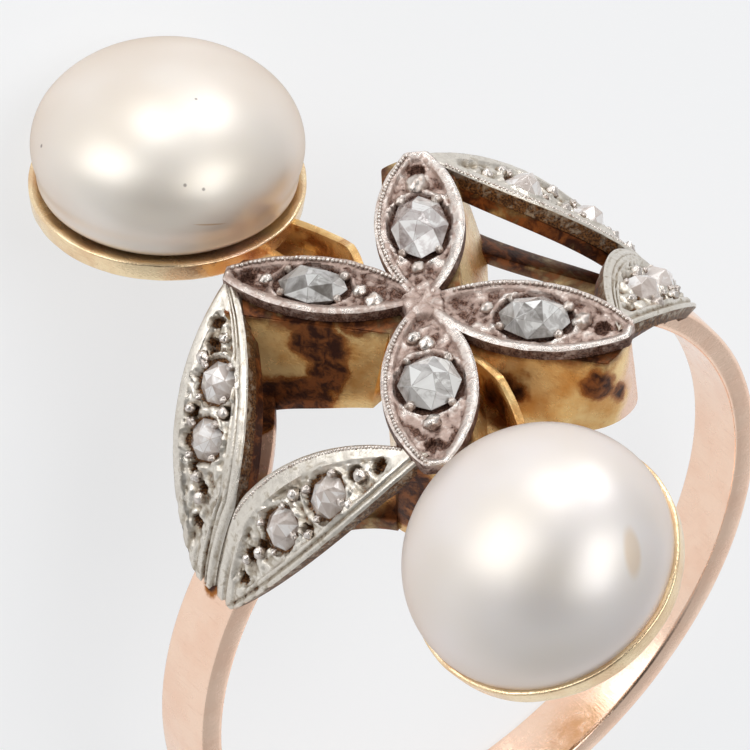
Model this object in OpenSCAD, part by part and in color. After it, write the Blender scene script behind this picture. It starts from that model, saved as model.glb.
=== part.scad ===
// Toi et moi ring in millimetres: two button pearls in gold cups at the two ends of a
// flower head with four petals and four leaves, on a plain rose gold band.
// The head is drawn above the finger, with the finger along Y and the shoulders along X.
// At the end the whole ring is laid on its side, the way it rests on a table.

/* [Band] */
// Inside diameter of the finger hole
finger_d = 17.2; // [17:0.1:17.4]
// Thickness of the band
band_t = 0.7; // [0.6:0.05:0.85]
// Width of the band along the finger
band_w = 1.87; // [1.6:0.01:2.1]
// Bevel along the outer edges of the band
band_bevel = 0.1; // [0.05:0.01:0.15]
// Angle above the shoulder at which the band runs in under the leaves
band_end = 42; // [40:1:46]

/* [Head] */
// Height of the petals above the top of the finger hole
head_h = 2.4; // [2.3:0.05:2.6]
// Radius of the dome that the leaves follow down to the shoulders
dome_r = 7.7; // [7.6:0.05:7.8]
// Drop of the dome's centre below the top of the finger hole
dome_drop = 4.72; // [4.6:0.02:4.8]
// Thickness of the silver
silver_t = 0.42; // [0.36:0.02:0.46]
// Depth of the beds in which the stones are set
bed_depth = 0.18; // [0.1:0.02:0.2]
// Hairline between the silver and the gold under it
seam = 0.03; // [0.02:0.01:0.05]

/* [Petals] */
// Width of the raised border around a petal
petal_rim = 0.28; // [0.2:0.02:0.34]
// Half width of the gold box under a petal, at its top
box_half_w = 0.95; // [0.9:0.05:1]
// How much each side of a box leans out for each millimetre down
box_flare = 0.25; // [0.2:0.01:0.28]
// Half width of a box at its foot
box_foot_w = 1.6; // [1.5:0.05:1.65]
// Distance from the flower's centre to the round end of a box
box_reach = 5.35; // [5.2:0.05:5.4]
// Thickness of the box walls
box_wall = 0.4; // [0.3:0.05:0.5]

/* [Leaves] */
// Bulge of a leaf's outer edge from the line between its ends
leaf_out = 0.7; // [0.6:0.02:0.8]
// Bulge of a leaf's inner edge from the same line
leaf_in = 1.8; // [1.7:0.02:1.9]
// Width of the raised border around a leaf
leaf_rim = 0.34; // [0.3:0.02:0.4]
// Angle above the shoulder at which the leaves end on the band
leaf_end = 35.5; // [35:0.5:37]
// Thickness of the gold under a leaf
back_t = 0.34; // [0.3:0.02:0.4]
// Thickness of the rails under the leaves, measured out from the finger hole
rail_t = 0.45; // [0.4:0.05:0.6]
// Width of the rails
rail_w = 0.8; // [0.7:0.05:0.9]

/* [Pearls] */
// Half width of the far pearl
far_r = 3.58; // [3.5:0.01:3.6]
// Half width of the near pearl
near_r = 3.45; // [3.4:0.01:3.5]
// Thickness of the cups
cup_t = 0.32; // [0.25:0.01:0.4]

/* [Stones] */
// Diameter of the stones in the leaves
leaf_stone_d = 1.16; // [1:0.02:1.2]
// Height of every stone above its girdle
crown_h = 0.42; // [0.3:0.02:0.5]

/* [Hidden] */
$fn = 72;

finger_r = finger_d / 2;
petal_z = finger_r + head_h;
dome_z = finger_r - dome_drop;
gold_dome_r = dome_r - silver_t - seam;
box_z = petal_z - silver_t + 0.04 - seam;
petal_t = petal_z - box_z - seam;
roof_t = 0.35;
reach = 30;
snug = 0.04;

// Petals: angle from the right shoulder, from and to along the petal, half width,
// then the stone's place along it, length and width, then grains, drilled hole and how
// far the petal stands to the side of its line.
P_ANG = 0;
P_FROM = 1;
P_TO = 2;
P_HALF = 3;
P_STONE = 4;
P_LEN = 5;
P_WID = 6;
P_GRAINS = 7;
P_HOLE = 8;
P_SHIFT = 9;
PETALS = [
    [54.2, 0.2, 5.2, 1.17, 2.6, 2.2, 1.5, [[4.1, 0], [1.2, 0.1]], 4.62, 0],
    [127.9, 0.2, 5.3, 0.95, 2.95, 1.86, 1.24, [[1.7, 0], [4.25, 0]], 4.7, -0.1],
    [235.2, 0.2, 5.6, 1.24, 2.77, 1.86, 1.66, [[1.55, 0], [4.1, 0]], 4.8, 0],
    [306.6, 0.2, 5.5, 1.17, 2.93, 1.9, 1.5, [[1.65, 0.1], [4.2, 0.1]], 4.72, 0]
];
petal_grain_r = 0.2;
petal_hole_r = 0.17;
// The small boss where the four petals meet, a little proud of their borders.
hub_r = 0.66;
hub_step = 0.03;

// Leaves: one is drawn on a plane tipped to its mean slope, between its petal tip and
// its shoulder, and mirrored.
leaf_slope = 51;
LEAF_TIP = [-3.55, 4.15];
LEAF_FOOT = [4.31, 0.09];
LEAF_SIDES = [[-1, 1], [-1, -1], [1, 1], [1, -1]];
leaf_len = norm(LEAF_FOOT - LEAF_TIP);
leaf_turn = atan2(LEAF_FOOT[1] - LEAF_TIP[1], LEAF_FOOT[0] - LEAF_TIP[0]);
// The two stones of each leaf: place along it, and place across it.
LEAF_STONES = [
    [[2.76, -0.5], [4.27, -0.35]], [[3, -0.42], [4.75, -0.42]],
    [[2.88, -0.52], [4.95, -0.5]], [[2.9, -0.42], [4.75, -0.42]]
];
// Grains: share of the way from the first stone to the second, then how far along the
// leaf and across it from there.
LEAF_GRAINS = [
    [0, -1.14, 0.02], [0, -0.58, 0.56], [0.5, 0, -0.52],
    [0.5, 0, 0.62], [1, 0.96, 0.16], [1, 1.5, 0.06]
];
leaf_grain_r = 0.15;

// Rails: centre and radius of the bend of one of them, seen from above.
RAIL_AT = [8.5, 5.5];
rail_r = 6;

// Pearls: centre, lean towards +X and +Y, half width, height as a share of the width,
// then the cup's rim: its height beside the pearl's centre, and its half width.
FAR = [[-1.7, 8.6, finger_r + 2.72], [11, 3], far_r, 0.62, -1.18, far_r + 0.07];
NEAR = [[-3.5, -9.2, finger_r + 3.12], [-20, 1], near_r, 0.76, -0.5, near_r + 0.08];
CENTRE = 0;
LEAN = 1;
HALF = 2;
ROUND = 3;
RIM = 4;
RIM_R = 5;

// Arms between the head and the cups: centre of the bend of the right wall and its
// radius, turn of the straight left wall, and span along Y.
ARMS = [[-3.4, 3.9, 3.6, 5, 1.4, 6.3], [-3.5, -2.75, 3.65, -16, -6.8, -1.4]];
arm_left = 1;
arm_t = 0.22;
arm_floor = 0.4;
saddle_r = 4.2;
saddle_y = 5.4;
saddle_z = finger_r + 5.42;

// The ring lying on its side: tipped over its far pearl and turned on the table, then moved
// so that it stands centred on the table's origin. It lies on the edge of the far cup and
// the edge of the band, and both are worn flat there by a hair's breadth.
worn = 0.07;
LAY = [-59.61, 4.93, 80];
LAY_SHIFT = [4.271, 0, 5.511 - worn];

// A pointed outline between [0, 0] and [len, 0] with a bulge on each side of the line.
module blade(len, up, down) {
    r_up = (len * len / 4 + up * up) / (2 * up);
    r_down = (len * len / 4 + down * down) / (2 * down);
    intersection() {
        translate([len / 2, up - r_up]) circle(r = r_up);
        translate([len / 2, r_down - down]) circle(r = r_down);
    }
}

module along_finger(r) {
    rotate([90, 0, 0]) cylinder(h = 2 * reach, r = r, center = true);
}

module dome(r) {
    translate([0, 0, dome_z]) along_finger(r);
}

function grain_place(i, g) =
    LEAF_STONES[i][0] * (1 - g[0]) + LEAF_STONES[i][1] * g[0] + [g[1], g[2]];

module four_leaves() {
    for (side = LEAF_SIDES) {
        scale_side(side) children();
    }
}

module scale_side(side) {
    mirror([side[0] < 0 ? 1 : 0, 0, 0]) mirror([0, side[1] < 0 ? 1 : 0, 0]) children();
}

// Stands children on the leaf's line, square to the leaf's mean slope.
module on_leaf_line() {
    translate([0, 0, dome_z]) rotate([0, leaf_slope, 0]) {
        translate([LEAF_TIP[0], LEAF_TIP[1], 0]) rotate([0, 0, leaf_turn]) children();
    }
}

// Everything higher than the line at which the leaves end on the band.
module above_shoulder(angle) {
    rotate([0, -angle, 0]) translate([0, -reach, 0]) cube([reach, 2 * reach, reach]);
}

module leaf_column(grow) {
    intersection() {
        on_leaf_line() {
            linear_extrude(reach) translate([-grow, 0]) {
                blade(leaf_len + 2 * grow, leaf_out + grow, leaf_in + grow);
            }
        }
        above_shoulder(leaf_end - grow);
    }
}

// A place on the leaf, tipped to the slope of the dome there, at a distance from it.
module on_leaf(place, off) {
    down = LEAF_TIP[0] + place[0] * cos(leaf_turn) - place[1] * sin(leaf_turn);
    y = LEAF_TIP[1] + place[0] * sin(leaf_turn) + place[1] * cos(leaf_turn);
    translate([0, y, dome_z]) rotate([0, leaf_slope + asin(down / dome_r), 0]) {
        translate([0, 0, dome_r + off]) children();
    }
}

module at_petal(p) {
    rotate([0, 0, p[P_ANG]]) children();
}

// The petal outline: a long blade with its two ends rounded off.
module petal_outline(p, inset) {
    len = p[P_TO] - p[P_FROM];
    over = 0.3;
    intersection() {
        translate([p[P_FROM] - over, p[P_SHIFT]]) {
            blade(len + 2 * over, p[P_HALF] - inset, p[P_HALF] - inset);
        }
        translate([p[P_FROM] + len / 2, p[P_SHIFT]]) circle(r = len / 2 - inset);
    }
}

module pearl_place(pearl) {
    lean = pearl[LEAN];
    translate(pearl[CENTRE]) rotate([-lean[1], lean[0], 0]) children();
}

// Height of the pearl's underside at a radius.
function under_pearl(pearl, share) = -pearl[HALF] * pearl[ROUND] * sqrt(1 - share * share);

// The cup follows the pearl's underside out to the last share of its half width, then
// runs straight to its rim.
CUP_SHARES = [0, 0.25, 0.5, 0.72];
cup_gap = 0.05;
cup_lip = 0.2;
cup_wall_h = 0.5;
function cup_inside(pearl) = [
    for (s = CUP_SHARES) [s * pearl[HALF], under_pearl(pearl, s) - cup_gap]
];

module cup_blank(pearl) {
    rim = pearl[RIM];
    inside = cup_inside(pearl);
    outside = [for (i = [len(inside) - 1:-1:0]) inside[i] - [0, cup_t]];
    shoulder_r = (pearl[RIM_R] + outside[0][0]) / 2 + 0.1;
    wall = [
        [0, rim], [pearl[RIM_R], rim], [pearl[RIM_R] - 0.05, rim - cup_wall_h],
        [shoulder_r, (rim - cup_wall_h + outside[0][1]) / 2 - 0.15]
    ];
    pearl_place(pearl) rotate_extrude() polygon(concat(wall, outside));
}

module cup_hollow(pearl) {
    rim = pearl[RIM];
    r = pearl[RIM_R];
    clear = pearl[HALF] + 0.3;
    mouth = [[r - cup_lip, rim], [clear, rim + 0.2], [clear, pearl[HALF]], [0, pearl[HALF]]];
    pearl_place(pearl) rotate_extrude() polygon(concat(cup_inside(pearl), mouth));
}

module band_blank() {
    inner = finger_r - 0.3;
    outer = finger_r + band_t;
    half = band_w / 2;
    rotate([90, 0, 0]) rotate([0, 0, 180 - band_end]) rotate_extrude(angle = 180 + 2 * band_end) {
        polygon([
            [inner, -half], [outer - band_bevel, -half], [outer, -half + band_bevel],
            [outer, half - band_bevel], [outer - band_bevel, half], [inner, half]
        ]);
    }
}

module box_outline(inset) {
    half = box_foot_w - inset;
    bend = box_reach - box_foot_w;
    translate([-0.1, -half]) square([bend + 0.1, 2 * half]);
    translate([bend, 0]) circle(r = half);
}

// The boxes under the petals: sides that lean out on their way down to the finger, and
// a round end. The base is inside the finger hole, which is cut out later.
module boxes(inset, top) {
    base = finger_r - 2.2;
    over = 0.5;
    low = box_half_w + (box_z - base + over) * box_flare - inset;
    high = box_half_w + (box_z - top - over) * box_flare - inset;
    for (p = PETALS) {
        at_petal(p) intersection() {
            translate([0, 0, base]) linear_extrude(top - base) box_outline(inset);
            rotate([90, 0, 90]) linear_extrude(box_reach + over) {
                polygon([
                    [-low, base - over], [low, base - over], [high, top + over], [-high, top + over]
                ]);
            }
        }
    }
}

// The thin gold plate under a leaf.
module leaf_back() {
    intersection() {
        on_leaf_line() linear_extrude(reach) translate([0.1, 0]) {
            blade(leaf_len - 0.2, leaf_out - 0.35, leaf_in - 0.05);
        }
        difference() {
            dome(gold_dome_r);
            dome(gold_dome_r - back_t);
        }
    }
}

// The rail under a leaf's inner edge: part of a ring in plan, cut to the finger hole.
module leaf_rail() {
    intersection() {
        translate([RAIL_AT[0], RAIL_AT[1], 0]) difference() {
            cylinder(h = reach, r = rail_r);
            translate([0, 0, -1]) cylinder(h = reach + 2, r = rail_r - rail_w);
        }
        translate([2.4, 0.05, 0]) cube([5.1, 3, reach]);
        along_finger(finger_r + rail_t);
        dome(gold_dome_r - 0.02);
    }
}

module arm_outline(a, inset) {
    intersection() {
        translate([a[0], a[1]]) circle(r = a[2] - inset);
        rotate([0, 0, a[3]]) translate([inset - arm_left, -reach]) square([reach, 2 * reach]);
        translate([-reach, a[4]]) square([2 * reach, a[5] - a[4]]);
    }
}

// One arm: two walls on a floor, dished along the top where the cup sits.
module arm(a) {
    side = a[4] > 0 ? 1 : -1;
    difference() {
        linear_extrude(petal_z - 0.5) arm_outline(a, 0);
        difference() {
            linear_extrude(reach) arm_outline(a, arm_t);
            along_finger(finger_r + arm_floor);
        }
        translate([0, side * saddle_y, saddle_z]) rotate([0, 90, 0]) {
            cylinder(h = reach, r = saddle_r, center = true);
        }
    }
}

module gold_frame() {
    color("goldenrod") difference() {
        union() {
            band_blank();
            difference() {
                union() {
                    boxes(0, box_z);
                    for (a = ARMS) {
                        arm(a);
                    }
                }
                boxes(box_wall, box_z - roof_t);
            }
            four_leaves() leaf_back();
            four_leaves() leaf_rail();
            cup_blank(FAR);
            cup_blank(NEAR);
        }
        along_finger(finger_r);
        cup_hollow(FAR);
        cup_hollow(NEAR);
        four_leaves() difference() {
            leaf_column(seam);
            dome(gold_dome_r);
        }
    }
}

module silver_petal(p) {
    at_petal(p) {
        difference() {
            translate([0, 0, petal_z - petal_t]) linear_extrude(petal_t) petal_outline(p, 0);
            translate([0, 0, petal_z - bed_depth]) linear_extrude(1) petal_outline(p, petal_rim);
            translate([p[P_STONE], p[P_SHIFT], petal_z - 1]) linear_extrude(2) {
                scale([p[P_LEN] / 2 + snug, p[P_WID] / 2 + snug]) circle(r = 1);
            }
            translate([p[P_HOLE], p[P_SHIFT], petal_z - 1]) cylinder(h = 2, r = petal_hole_r);
        }
        for (g = p[P_GRAINS]) {
            translate([g[0], g[1] + p[P_SHIFT], petal_z - bed_depth]) sphere(r = petal_grain_r);
        }
    }
}

module silver_leaf(i) {
    difference() {
        intersection() {
            leaf_column(0);
            dome(dome_r);
        }
        dome(dome_r - silver_t);
        difference() {
            on_leaf_line() linear_extrude(reach) translate([leaf_rim * 2, 0]) {
                blade(leaf_len - leaf_rim * 5, leaf_out - leaf_rim, leaf_in - leaf_rim);
            }
            dome(dome_r - bed_depth);
        }
        for (s = LEAF_STONES[i]) {
            on_leaf(s, -1) cylinder(h = 2, r = leaf_stone_d / 2 + snug);
        }
    }
    for (g = LEAF_GRAINS) {
        on_leaf(grain_place(i, g), -bed_depth) sphere(r = leaf_grain_r);
    }
}

module silver_top() {
    color("lightgray") {
        for (p = PETALS) {
            silver_petal(p);
        }
        translate([0, 0, petal_z - petal_t + hub_step]) cylinder(h = petal_t + hub_step, r = hub_r);
        for (i = [0:3]) {
            scale_side(LEAF_SIDES[i]) silver_leaf(i);
        }
    }
}

// A rose-cut stone one unit across: flat back, girdle, a belt of facets, small table.
CUT = [[0, 0.8, 12, 0], [0.3, 1, 12, 0], [0.72, 0.72, 6, 15], [1, 0.3, 6, 45]];
module rose_cut(length, width, height) {
    scale([length / 2, width / 2, height]) hull() {
        for (row = CUT) {
            translate([0, 0, row[0] - 0.01 * row[0]]) rotate([0, 0, row[3]]) {
                cylinder(h = 0.01, r = row[1], $fn = row[2]);
            }
        }
    }
}

module petal_stone(i) {
    p = PETALS[i];
    sunk = petal_t - 0.01;
    color("white") at_petal(p) translate([p[P_STONE], p[P_SHIFT], petal_z - sunk]) {
        rose_cut(p[P_LEN], p[P_WID], sunk + crown_h);
    }
}

module leaf_stone(i) {
    sunk = silver_t - 0.01;
    leaf = floor(i / 2);
    color("white") scale_side(LEAF_SIDES[leaf]) on_leaf(LEAF_STONES[leaf][i % 2], -sunk) {
        rose_cut(leaf_stone_d, leaf_stone_d, sunk + crown_h * 0.7);
    }
}

module pearl(which) {
    color("ivory") pearl_place(which) scale([1, 1, which[ROUND]]) sphere(r = which[HALF]);
}

module laid() {
    translate(LAY_SHIFT) rotate(LAY) children();
}

module worn_where_it_lies() {
    difference() {
        children();
        translate([-reach, -reach, -2]) cube([2 * reach, 2 * reach, 2]);
    }
}

worn_where_it_lies() laid() gold_frame();
laid() silver_top();
laid() pearl(FAR);  // far_pearl
laid() pearl(NEAR);  // near_pearl
laid() petal_stone(0);  // petal_stone_1
laid() petal_stone(1);  // petal_stone_2
laid() petal_stone(2);  // petal_stone_3
laid() petal_stone(3);  // petal_stone_4
laid() leaf_stone(0);  // leaf_stone_1
laid() leaf_stone(1);  // leaf_stone_2
laid() leaf_stone(2);  // leaf_stone_3
laid() leaf_stone(3);  // leaf_stone_4
laid() leaf_stone(4);  // leaf_stone_5
laid() leaf_stone(5);  // leaf_stone_6
laid() leaf_stone(6);  // leaf_stone_7
laid() leaf_stone(7);  // leaf_stone_8
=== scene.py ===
# %% [markdown]
# # An antique toi et moi ring
#
# Two button pearls sit in gold cups at the two ends of a silver flower head, set with
# rose-cut stones. A plain rose gold band carries it all. This lesson dresses the packed
# model: first we load it as a fixed frame.

# %% Load the frame
import math
import random

import bmesh
import bpy
import numpy as np
from mathutils import Euler, Matrix, Vector, noise


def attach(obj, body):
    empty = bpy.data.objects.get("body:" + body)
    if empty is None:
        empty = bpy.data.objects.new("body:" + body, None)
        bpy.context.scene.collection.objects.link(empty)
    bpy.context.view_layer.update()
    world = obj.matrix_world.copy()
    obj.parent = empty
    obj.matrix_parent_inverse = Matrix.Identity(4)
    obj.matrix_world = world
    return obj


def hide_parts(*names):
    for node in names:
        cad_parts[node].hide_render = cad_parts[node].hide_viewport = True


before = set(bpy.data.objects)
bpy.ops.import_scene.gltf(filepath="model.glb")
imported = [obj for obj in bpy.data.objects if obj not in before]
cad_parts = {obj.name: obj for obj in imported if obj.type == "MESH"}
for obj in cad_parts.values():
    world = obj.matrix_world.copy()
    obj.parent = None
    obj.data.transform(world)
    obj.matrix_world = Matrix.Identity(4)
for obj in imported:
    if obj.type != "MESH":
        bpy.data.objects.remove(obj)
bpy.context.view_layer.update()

# %% [markdown]
# ## Where the ring lies
#
# It is easiest to think about a ring as worn: the finger along Y, the shoulders along X
# and the head up. On the table it lies on its side, so one matrix carries each point from
# the worn ring, in millimetres, to the table, in metres.

# %% The turn that lays the ring down
MM = 0.001
LAY = Euler([math.radians(a) for a in (-59.61, 4.93, 80)], "XYZ")
LAY_SHIFT = Vector((4.271, 0, 5.441))
turn = LAY.to_matrix()
to_table = Matrix.Scale(MM, 4) @ Matrix.Translation(LAY_SHIFT) @ turn.to_4x4()
print("the head points to", [round(v, 2) for v in turn @ Vector((0, 0, 1))])

# %% [markdown]
# ## Camera
#
# A long lens, close to the jeweller's loupe view of the photograph: it looks down over the
# near pearl. The camera is made first, so that each piece can be judged as it appears.

# %% Look down over the near pearl
def show(name, data):
    """Put an object made of the data into the scene."""
    thing = bpy.data.objects.new(name, data)
    bpy.context.scene.collection.objects.link(thing)
    return thing


CAMERA_AT = Vector((-68.349, -110.140, 152.419))
CAMERA_RIGHT = Vector((0.787521, -0.607883, -0.101437))
CAMERA_UP = Vector((0.509891, 0.550227, 0.661258))
CAMERA_BACK = Vector((-0.346154, -0.572476, 0.743269))
camera = show("loupe_view", bpy.data.cameras.new("loupe_view"))
camera.data.sensor_width = 36
camera.data.lens = 362.53
camera.data.clip_start, camera.data.clip_end = 0.01, 20
axes = Matrix([turn @ v for v in (CAMERA_RIGHT, CAMERA_UP, CAMERA_BACK)]).transposed()
camera.matrix_world = Matrix.Translation(to_table @ CAMERA_AT) @ axes.to_4x4()
bpy.context.scene.camera = camera
print("camera height:", round(camera.matrix_world.translation.z, 3), "m")

# %% [markdown]
# ## A bench for shapes
#
# Every larger form in metal is a skin between rows of points: a profile carried round a
# circle, turned on a lathe, or changing as it runs along. So one small class gathers rows
# into faces, with a darkness for each point that tells the material where tarnish has stayed
# and where painted shade falls under leaves and petals and in gaps between parts.

# %% Rows of points become a skin
class Work:
    def __init__(self):
        self.points, self.faces, self.dark = [], [], []

    def mesh(self, points, faces, dark):
        start = len(self.points)
        self.points.extend(points)
        self.faces.extend(tuple(start + i for i in f) for f in faces)
        self.dark.extend(dark)

    def skin(self, rows, dark=None, round_trip=False):
        """Each row is a closed line of points, or of points paired with their darkness. The
        last row meets the first, or both are capped."""
        across, along = len(rows[0]), len(rows)
        faces = []
        for i in range(along if round_trip else along - 1):
            a, b = i * across, (i + 1) % along * across
            for j in range(across):
                k = (j + 1) % across
                faces.append((a + j, a + k, b + k, b + j))
        if not round_trip:
            last = (along - 1) * across
            faces.append(tuple(reversed(range(across))))
            faces.append(tuple(last + j for j in range(across)))
        points = [p for row in rows for p in row]
        if dark is None:
            points, dark = zip(*points)
        else:
            dark = [dark] * len(points)
        self.mesh([tuple(p) for p in points], faces, dark)


def softened(corners, radius, steps=4, closed=True):
    """A polygon with its corners rounded off, as polishing does."""
    corners = [np.array(c, float) for c in corners]
    out = []
    count = len(corners)
    for i, c in enumerate(corners):
        if not closed and i in (0, count - 1):
            out.append(c)
            continue
        before, after = corners[i - 1] - c, corners[(i + 1) % count] - c
        reach = min(radius, 0.45 * np.linalg.norm(before), 0.45 * np.linalg.norm(after))
        a = c + before / np.linalg.norm(before) * reach
        b = c + after / np.linalg.norm(after) * reach
        for t in np.linspace(0, 1, steps):
            out.append((1 - t) ** 2 * a + 2 * t * (1 - t) * c + t * t * b)
    return out


def rub(x, y, z, size, seed=0.0):
    """Smooth noise between about -1 and 1, the same on every run."""
    return noise.noise(Vector((x / size + seed, y / size - seed, z / size)))


def ease(value, low, high):
    """Zero below low, one above high and a smooth rise between."""
    t = min(max((value - low) / (high - low), 0), 1)
    return t * t * (3 - 2 * t)


def full_turn(count):
    return np.linspace(0, 2 * math.pi, count, endpoint=False)


def ridge(place, middle, width):
    """One at the middle, and falling off beside it like a bell."""
    return math.exp(-((place - middle) / width) ** 2)


def on_ball(tilt, turned):
    """A point of a ball with a radius of one."""
    return (math.sin(tilt) * math.cos(turned), math.sin(tilt) * math.sin(turned),
            math.cos(tilt))


def circle_at(degrees):
    """The cosine and the sine of an angle."""
    angle = math.radians(degrees)
    return math.cos(angle), math.sin(angle)


print("bench ready")

# %% Work becomes an object
def make_piece(name, work, finish, stands_for, sharp=38):
    """Lay the work on the table, worn flat there, and dress the named nodes with it."""
    mesh = bpy.data.meshes.new(name)
    laid = [to_table @ Vector(p) for p in work.points]
    laid = [(x, y, max(z, 0.0)) for x, y, z in laid]
    mesh.from_pydata(laid, [], work.faces)
    mesh.validate()
    # Each point's darkness goes to the material as one attribute: tarnish and painted shade.
    tarnish_and_shade = mesh.attributes.new("tarnish_and_shade", "FLOAT", "POINT")
    tarnish_and_shade.data.foreach_set("value", np.array(work.dark, dtype=np.float32))
    surface = bmesh.new()
    surface.from_mesh(mesh)
    bmesh.ops.recalc_face_normals(surface, faces=surface.faces)
    surface.to_mesh(mesh)
    surface.free()
    mesh.shade_smooth()
    mesh.set_sharp_from_angle(angle=math.radians(sharp))
    mesh.materials.append(finish)
    piece = show(name, mesh)
    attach(piece, "root")
    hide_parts(*stands_for)
    print(name, len(mesh.polygons), "faces")


print("ready to make pieces")

# %% [markdown]
# ## Finishes
#
# All finishes read the same place: the point on the worn ring in millimetres. A mapping
# node of the texture kind undoes the turn that laid the ring down, so a stain stays where
# it is on the metal.

# %% A small kit for nodes
class Nodes:
    def __init__(self, owner):
        owner.use_nodes = True
        self.tree = owner.node_tree

    def add(self, kind, inputs=None, **settings):
        node = self.tree.nodes.new("ShaderNode" + kind)
        for key, value in settings.items():
            setattr(node, key, value)
        for key, value in (inputs or {}).items():
            self.wire(value, node.inputs[key])
        return node

    def wire(self, value, socket):
        if isinstance(value, bpy.types.NodeSocket):
            self.tree.links.new(value, socket)
        else:
            socket.default_value = (*value, 1.0) if socket.type == "RGBA" else value

    def sums(self, operation, a, b):
        return self.add("Math", {0: a, 1: b}, operation=operation).outputs[0]

    def plus(self, a, b):
        return self.sums("ADD", a, b)

    def times(self, a, b):
        return self.sums("MULTIPLY", a, b)

    def swing(self, share, size):
        """Zero where the share is a half, and up to half the size to either side."""
        return self.times(self.sums("SUBTRACT", share, 0.5), size)

    def step(self, value, low, high):
        return self.add("MapRange", {
            "Value": value, "From Min": low, "From Max": high},
            interpolation_type="SMOOTHSTEP").outputs[0]

    def between(self, share, a, b):
        return self.add("Mix", {"Factor": share, 6: a, 7: b}, data_type="RGBA").outputs[2]

    def level(self, share, a, b):
        return self.add("Mix", {"Factor": share, "A": a, "B": b}).outputs[0]


class Finish(Nodes):
    def __init__(self, name):
        self.material = bpy.data.materials.new(name)
        super().__init__(self.material)
        self.shader = self.tree.nodes["Principled BSDF"]
        where = self.add("TexCoord").outputs["Object"]
        self.place = self.add("Mapping", {
            "Vector": where, "Location": LAY_SHIFT * MM, "Rotation": LAY,
            "Scale": (MM, MM, MM)}, vector_type="TEXTURE").outputs[0]

    def stored(self, name):
        """A share that the mesh holds for each of its points or faces."""
        return self.add("Attribute", attribute_name=name).outputs["Fac"]

    def grain(self, size, detail=5, rough=0.55, stretch=(1, 1, 1), warp=0.0):
        """Noise whose spots are about size millimetres across."""
        place = self.add("Mapping", {
            "Vector": self.place, "Scale": tuple(s / size for s in stretch)}).outputs[0]
        return self.add("TexNoise", {
            "Vector": place, "Scale": 1.0, "Detail": detail, "Roughness": rough,
            "Distortion": warp}).outputs[0]

    def spot(self, at, radius, edge):
        """One where a place is near a given point, and zero away from it."""
        away = self.add("VectorMath", {0: self.place, 1: at}, operation="DISTANCE")
        wobble = self.swing(self.grain(0.6), edge * 1.8)
        return self.step(self.plus(away.outputs["Value"], wobble), radius, radius - edge)

    def mark(self, start, end, inside, width, deep=0.6):
        """One along a long mark on a ball whose middle is inside, and zero beside it."""
        start, end = Vector(start), Vector(end)
        run = end - start
        side = run.cross(start - inside).normalized()
        along = run.normalized()
        axes = Matrix((along, side, along.cross(side))).transposed()
        across = self.add("Mapping", {
            "Vector": self.place, "Location": (start + end) / 2,
            "Rotation": axes.to_euler(), "Scale": (run.length / 2, width, deep)},
            vector_type="TEXTURE").outputs[0]
        away = self.add("VectorMath", {0: across}, operation="LENGTH")
        return self.step(away.outputs["Value"], 1.0, 0.5)

    def bump(self, height, depth, strength, under=None):
        inputs = {"Height": height, "Strength": strength, "Distance": depth * MM}
        if under is not None:
            inputs["Normal"] = under
        return self.add("Bump", inputs).outputs[0]

    def done(self, **sockets):
        for name, value in sockets.items():
            self.wire(value, self.shader.inputs[name.replace("_", " ")])
        return self.material


print("node kit ready")

# %% [markdown]
# ## Rose gold
#
# The band is polished by wear: a pale peach with faint long scratches. In the head the same
# gold has kept brown tarnish wherever a cloth can't reach, and is painted dark brown as shade
# under the leaves and petals; the cups lie in between. All three finishes come from one
# function, and differ in colour and in the brown they hold. A stain is a place in the ring's
# millimetres, a radius and the width of its soft edge.

# %% Three rose golds
def rose_gold(name, light, deep, brown, bias, patches, dents, metal, stains=(), rosy=()):
    f = Finish(name)
    cloud = f.grain(1.1, detail=6)
    blotch = f.grain(0.35, detail=8, rough=0.65, warp=0.4)
    speck = f.grain(0.07, detail=4)
    scratch = f.grain(0.9, detail=6, stretch=(14, 1.3, 14), warp=0.2)
    worn = f.between(f.step(cloud, 0.35, 0.68), light, deep)
    for at, radius, edge in rosy:
        worn = f.between(f.spot(at, radius, edge), worn, (0.93, 0.64, 0.49))
    worn = f.between(f.times(f.step(scratch, 0.56, 0.72), 0.3), worn, brown)
    patchy = f.plus(f.swing(blotch, patches), f.swing(cloud, 1.4 * patches))
    held_and_shaded = f.plus(f.plus(f.stored("tarnish_and_shade"), patchy), bias)
    tarnish_and_shade = f.step(held_and_shaded, 0.25, 0.9)
    stained = 0.0
    for at, radius, edge in stains:
        stained = f.sums("MAXIMUM", stained, f.spot(at, radius, edge))
    worn = f.between(f.step(stained, 0.0, 0.5), worn, (0.40, 0.15, 0.035))
    tarnish_and_shade = f.sums("MAXIMUM", tarnish_and_shade, f.step(stained, 0.35, 0.9))
    # Dark brown where the stored darkness is high: tarnish, and painted shade under the silver.
    dirt_and_shade = f.between(f.step(blotch, 0.42, 0.64), (0.045, 0.011, 0.004), (0.26, 0.085, 0.022))
    rough = f.level(tarnish_and_shade, f.level(f.step(blotch, 0.35, 0.7), 0.16, 0.30), 0.45)
    fine = f.bump(speck, 0.006, 0.35)
    return f.done(
        Base_Color=f.between(tarnish_and_shade, worn, dirt_and_shade), Roughness=rough,
        Metallic=f.level(tarnish_and_shade, metal, 0.6),
        Normal=f.bump(f.plus(blotch, scratch), dents, 0.35, under=fine))


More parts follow.
